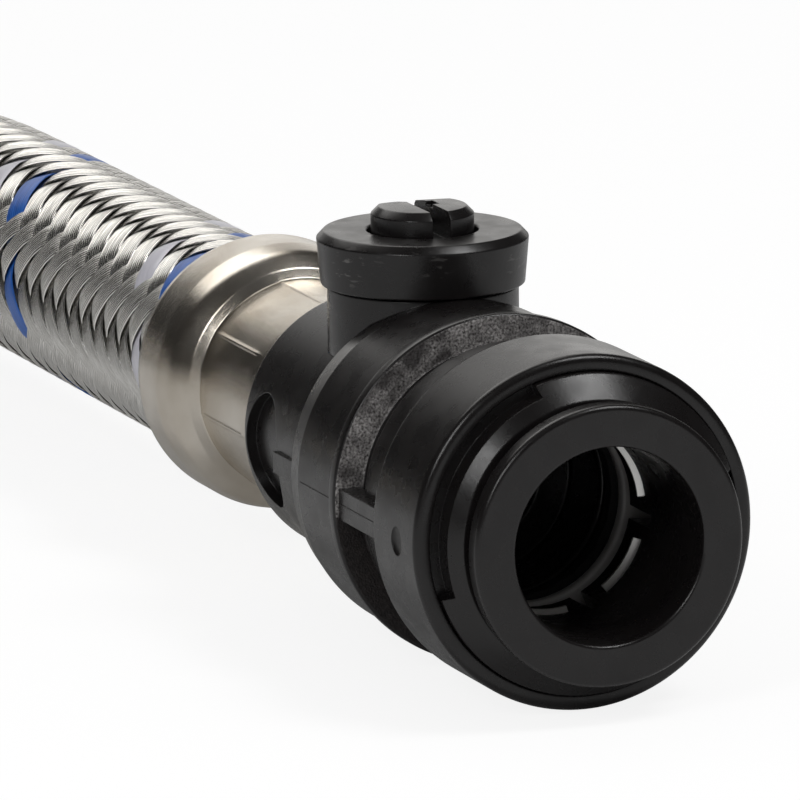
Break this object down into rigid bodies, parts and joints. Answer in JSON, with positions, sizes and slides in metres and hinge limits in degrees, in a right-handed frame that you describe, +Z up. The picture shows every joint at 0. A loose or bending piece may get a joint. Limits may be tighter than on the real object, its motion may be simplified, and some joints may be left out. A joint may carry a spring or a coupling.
{
  "type": "flexible tap connector",
  "caption": "Push-fit isolating valve on a short braided hose with a swivel tap nut, for joining a tap tail to a copper or plastic water pipe.",
  "frame": {"origin": "on the surface that the fitting stands on, under the middle of the valve with its ferrule; the free hose and its tap end lie beyond and are not counted", "axes": "+X along the valve, out of the pipe mouth; +Z up along the stem; the hose leaves along -X and its tap nut looks along -Y"},
  "size_m": [0.2261, 0.1317, 0.0329],
  "materials": {
    "black_plastic": "satin moulded, spark texture in the pockets",
    "steel": "rolled and crimped stainless steel, satin",
    "braid": "woven stainless wire with blue tracer ribbons",
    "brass": "turned",
    "plated_brass": "nickel plated, machined",
    "rubber": "moulded",
    "seat_plastic": "machined, smooth",
    "ring_plastic": "satin moulded",
    "washer_fibre": "pressed fibre"
  },
  "bodies": {
    "valve": {"valve_body": "black_plastic", "end_cap": "black_plastic", "socket_spacer": "ring_plastic", "socket_o_ring": "rubber", "front_ball_seat": "seat_plastic", "rear_ball_seat": "seat_plastic", "bonnet_cap": "black_plastic", "hose_nipple": "brass", "nipple_o_ring": "rubber", "valve_ferrule": "steel", "hose_liner": "rubber", "hose_braid": "braid", "tap_ferrule": "steel", "tap_nipple": "plated_brass", "sealing_washer": "washer_fibre"},
    "collet": {"collet": "black_plastic", "grip_tooth_1": "steel", "grip_tooth_2": "steel", "grip_tooth_3": "steel", "grip_tooth_4": "steel", "grip_tooth_5": "steel", "grip_tooth_6": "steel"},
    "stem": {"valve_stem": "black_plastic", "valve_ball": "plated_brass", "lower_stem_o_ring": "rubber", "upper_stem_o_ring": "rubber"},
    "nut": {"coupling_nut": "plated_brass"}
  },
  "joints": [
    {"name": "collet_slide", "type": "slide", "parent": "valve", "child": "collet", "axis": [-1, 0, 0], "range_m": [0, 0.0012]},
    {"name": "stem_turn", "type": "hinge", "parent": "valve", "child": "stem", "pos_m": [-0.0005, 0, 0.02], "axis": [0, 0, -1], "range_deg": [0, 90]},
    {"name": "nut_spin", "type": "hinge", "parent": "valve", "child": "nut", "pos_m": [-0.1738, -0.1102, 0.012], "axis": [0, -1, 0], "continuous": true}
  ]
}
